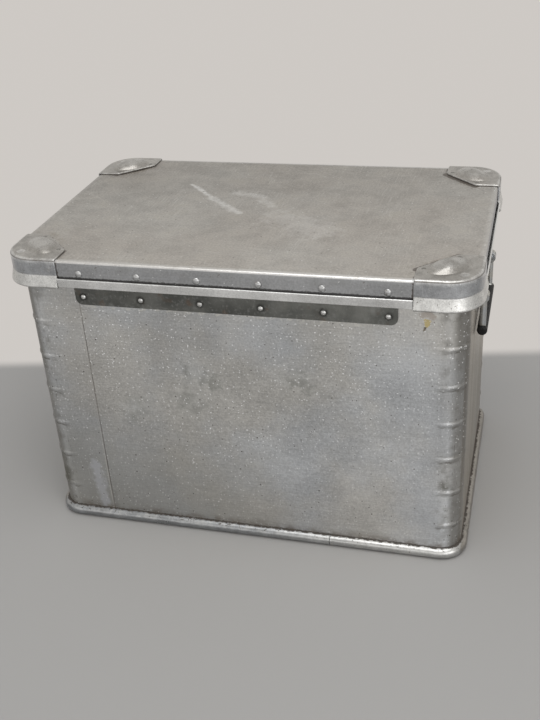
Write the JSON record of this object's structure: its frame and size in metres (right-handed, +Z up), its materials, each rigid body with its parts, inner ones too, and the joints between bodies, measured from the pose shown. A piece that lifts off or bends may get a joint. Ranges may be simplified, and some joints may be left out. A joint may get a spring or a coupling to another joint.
{
  "type": "aluminium case",
  "caption": "Aluminium case with a hinged lid, cast stacking corners, beaded body corners, a half-round foot rail, end handles and toggle latches.",
  "frame": {"origin": "on the floor under the middle of the case's body, in the plane of the foot rail's underside", "axes": "+X along the long side, towards the end with the right-hand handle as seen from the latches; +Y towards the hinge; +Z up"},
  "size_m": [0.612, 0.412, 0.4255],
  "materials": {
    "wall_sheet": "dull rolled sheet, stained and finely scratched",
    "rail_profile": "bright extruded profile",
    "lid_sheet": "dull rolled sheet, warm grey, scratched",
    "corner_cast": "satin casting",
    "hinge_steel": "dull dark zinc plate",
    "rivet_aluminium": "bright upset rivet heads",
    "handle_steel": "dull zinc plate",
    "grip_plastic": "black moulded plastic",
    "latch_steel": "zinc plate",
    "stay_steel": "zinc plate",
    "seal_rubber": "black foam strip"
  },
  "bodies": {
    "case_body": {"body_shell": "wall_sheet", "bottom_sheet": "wall_sheet", "bottom_rail": "rail_profile", "body_rim": "rail_profile", "hinge_body_leaf": "hinge_steel", "hinge_pin": "hinge_steel", "hinge_leaf_rivets": "rivet_aluminium", "latch_base_left": "latch_steel", "latch_base_right": "latch_steel", "latch_pin_left": "latch_steel", "latch_pin_right": "latch_steel", "latch_base_rivets_left": "rivet_aluminium", "latch_base_rivets_right": "rivet_aluminium", "handle_bracket_left_a": "handle_steel", "handle_bracket_left_b": "handle_steel", "handle_bracket_right_a": "handle_steel", "handle_bracket_right_b": "handle_steel", "handle_pins_left": "handle_steel", "handle_pins_right": "handle_steel", "handle_rivets_left": "rivet_aluminium", "handle_rivets_right": "rivet_aluminium", "stay_stud_left": "stay_steel", "stay_stud_right": "stay_steel"},
    "lid": {"lid_sheet": "lid_sheet", "lid_frame": "rail_profile", "lid_seal": "seal_rubber", "hinge_lid_leaf": "hinge_steel", "lid_flange_rivets": "rivet_aluminium", "corner_rear_right": "corner_cast", "corner_rear_left": "corner_cast", "corner_front_left": "corner_cast", "corner_front_right": "corner_cast", "corner_rivets": "rivet_aluminium", "latch_keeper_left": "latch_steel", "latch_keeper_right": "latch_steel", "keeper_rivets_left": "rivet_aluminium", "keeper_rivets_right": "rivet_aluminium", "stay_bracket_left": "stay_steel", "stay_bracket_right": "stay_steel", "stay_pin_left": "stay_steel", "stay_pin_right": "stay_steel"},
    "handle_left": {"handle_bail_left": "handle_steel", "handle_grip_left": "grip_plastic"},
    "latch_lever_left_body": {"latch_lever_left": "latch_steel"},
    "latch_loop_left_body": {"latch_loop_left": "latch_steel"},
    "lid_stay_left_body": {"lid_stay_left": "stay_steel"},
    "handle_right": {"handle_bail_right": "handle_steel", "handle_grip_right": "grip_plastic"},
    "latch_lever_right_body": {"latch_lever_right": "latch_steel"},
    "latch_loop_right_body": {"latch_loop_right": "latch_steel"},
    "lid_stay_right_body": {"lid_stay_right": "stay_steel"}
  },
  "joints": [
    {"name": "lid_hinge", "type": "hinge", "parent": "case_body", "child": "lid", "pos_m": [0.002, 0.1874, 0.3775], "axis": [-1, 0, 0], "range_deg": [0, 95]},
    {"name": "handle_left", "type": "hinge", "parent": "case_body", "child": "handle_left", "pos_m": [-0.2978, 0, 0.335], "axis": [0, 1, 0], "range_deg": [0, 90]},
    {"name": "latch_lever_left", "type": "hinge", "parent": "case_body", "child": "latch_lever_left_body", "pos_m": [-0.15, -0.202, 0.345], "axis": [-1, 0, 0], "range_deg": [0, 130]},
    {"name": "latch_loop_left", "type": "hinge", "parent": "latch_lever_left_body", "child": "latch_loop_left_body", "pos_m": [-0.15, -0.199, 0.334], "axis": [-1, 0, 0], "range_deg": [0, 57]},
    {"name": "lid_stay_left", "type": "hinge", "parent": "lid", "child": "lid_stay_left_body", "pos_m": [-0.2782, 0.08944, 0.3975], "axis": [1, 0, 0], "range_deg": [0, 47.5]},
    {"name": "handle_right", "type": "hinge", "parent": "case_body", "child": "handle_right", "pos_m": [0.2978, 0, 0.335], "axis": [0, -1, 0], "range_deg": [0, 90]},
    {"name": "latch_lever_right", "type": "hinge", "parent": "case_body", "child": "latch_lever_right_body", "pos_m": [0.15, -0.202, 0.345], "axis": [-1, 0, 0], "range_deg": [0, 130]},
    {"name": "latch_loop_right", "type": "hinge", "parent": "latch_lever_right_body", "child": "latch_loop_right_body", "pos_m": [0.15, -0.199, 0.334], "axis": [-1, 0, 0], "range_deg": [0, 57]},
    {"name": "lid_stay_right", "type": "hinge", "parent": "lid", "child": "lid_stay_right_body", "pos_m": [0.2782, 0.08944, 0.3975], "axis": [1, 0, 0], "range_deg": [0, 47.5]}
  ],
  "couplings": [
    {"joint": "lid_stay_left", "follows": "lid_hinge", "ratio": 0.5},
    {"joint": "lid_stay_right", "follows": "lid_hinge", "ratio": 0.5}
  ]
}
